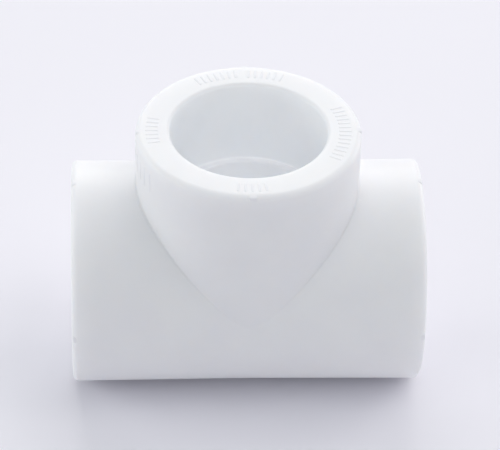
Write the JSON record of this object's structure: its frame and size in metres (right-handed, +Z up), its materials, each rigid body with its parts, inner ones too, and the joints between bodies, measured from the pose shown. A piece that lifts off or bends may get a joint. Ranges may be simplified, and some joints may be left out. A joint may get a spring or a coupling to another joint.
{
  "type": "tee fitting",
  "caption": "White plastic equal pipe tee with a plain fusion socket at each mouth, a stop ledge inside each socket and small alignment ribs.",
  "frame": {"origin": "on the surface that the run rests on, straight below the crossing of the run's axis and the branch's axis", "axes": "+X along the run, +Z up along the branch, +Y completes the frame; the run's axis is parallel to X at half the run's outside diameter above the origin"},
  "size_m": [0.0698, 0.0446, 0.0573],
  "materials": {
    "moulding": "satin white polypropylene, slightly translucent, with the faint unevenness of a moulded surface"
  },
  "bodies": {
    "root": {"branch_arm": "moulding", "run_arm_right": "moulding", "run_arm_left": "moulding", "branch_ticks": "moulding", "right_ticks": "moulding", "left_ticks": "moulding", "rim_marks": "moulding", "wall_marks": "moulding"}
  },
  "joints": []
}
